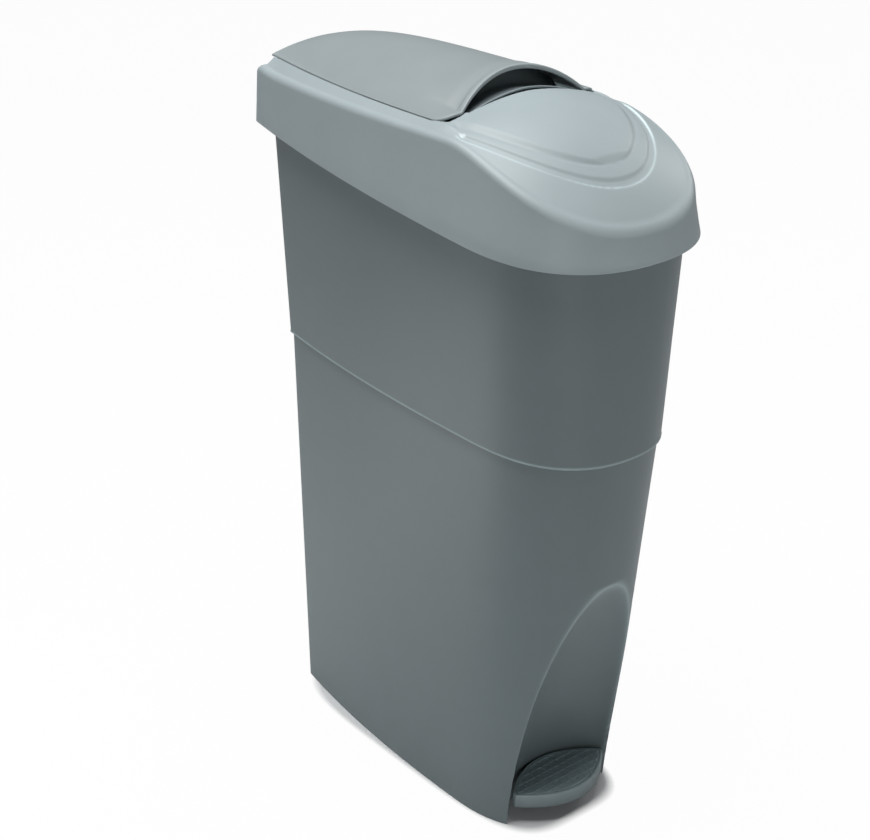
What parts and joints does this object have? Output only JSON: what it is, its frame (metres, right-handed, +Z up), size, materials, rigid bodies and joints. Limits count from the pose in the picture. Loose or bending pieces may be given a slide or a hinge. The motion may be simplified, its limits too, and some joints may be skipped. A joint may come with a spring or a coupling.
{
  "type": "sanitary container",
  "caption": "Slim pedal bin for sanitary waste: tapered body with toe recess, lift-off lid, rear-hinged flap with finger pocket and tray, pushed open by a pedal and rod.",
  "frame": {"origin": "middle of the object's bounding box in plan, on the floor it stands on", "axes": "+Z up; -Y towards the nose and the pedal, +Y towards the flat back; +X to the right seen from the front"},
  "size_m": [0.1998, 0.3794, 0.6141],
  "materials": {
    "body_plastic": "satin dark blue-grey",
    "lid_plastic": "satin light blue-grey",
    "flap_plastic": "satin mid blue-grey",
    "pocket_plastic": "satin dark grey",
    "tread_plastic": "ribbed, matt dark grey",
    "black_plastic": "moulded black",
    "bush_plastic": "moulded light grey",
    "steel": "drawn steel bar",
    "screw_steel": "zinc-plated screws",
    "rubber": "moulded black rubber"
  },
  "bodies": {
    "container": {"body_shell": "body_plastic", "bag_ring": "black_plastic", "rod_cover": "body_plastic", "rod_floor_bush": "black_plastic", "rod_top_guide": "black_plastic", "pivot_axle": "steel", "pivot_block_left": "black_plastic", "pivot_block_right": "black_plastic", "block_screw_left_front": "screw_steel", "block_screw_left_rear": "screw_steel", "block_screw_right_front": "screw_steel", "block_screw_right_rear": "screw_steel", "axle_cap_left": "black_plastic", "axle_cap_right": "black_plastic", "rubber_foot_front_left": "rubber", "rubber_foot_front_right": "rubber", "rubber_foot_rear_left": "rubber", "rubber_foot_rear_right": "rubber"},
    "pedal": {"pedal_plate": "body_plastic", "tread_pad": "tread_plastic", "pedal_lever": "black_plastic", "pedal_screw_left": "screw_steel", "pedal_screw_right": "screw_steel", "lever_bush_left": "bush_plastic", "lever_bush_right": "bush_plastic", "fork_pin": "steel"},
    "rod": {"push_rod": "steel", "rod_foot": "black_plastic", "rod_tip": "black_plastic"},
    "lid": {"lid_frame": "lid_plastic", "hinge_pin": "steel", "flap_bumper_left": "rubber", "flap_bumper_right": "rubber"},
    "flap": {"flap_panel": "flap_plastic", "finger_pocket": "pocket_plastic", "flap_crank": "black_plastic", "crank_screw_front": "screw_steel", "crank_screw_rear": "screw_steel", "modesty_tray": "flap_plastic", "tray_screw_left": "screw_steel", "tray_screw_right": "screw_steel"}
  },
  "joints": [
    {"name": "pedal_press", "type": "hinge", "parent": "container", "child": "pedal", "pos_m": [0, -0.01703, 0.016], "axis": [1, 0, 0], "range_deg": [0, 5.59]},
    {"name": "rod_lift", "type": "slide", "parent": "container", "child": "rod", "axis": [0, 0.0353, 0.9994], "range_m": [0, 0.016]},
    {"name": "lid_lift", "type": "slide", "parent": "container", "child": "lid", "axis": [0, 0, 1], "range_m": [0, 0.06]},
    {"name": "flap_open", "type": "hinge", "parent": "lid", "child": "flap", "pos_m": [0, 0.18385, 0.5795], "axis": [-1, 0, 0], "range_deg": [0, 54.4]}
  ],
  "couplings": [
    {"joint": "rod_lift", "follows": "pedal_press", "m_per_rad": 0.1637},
    {"joint": "flap_open", "follows": "pedal_press", "ratio": 9.7317}
  ]
}
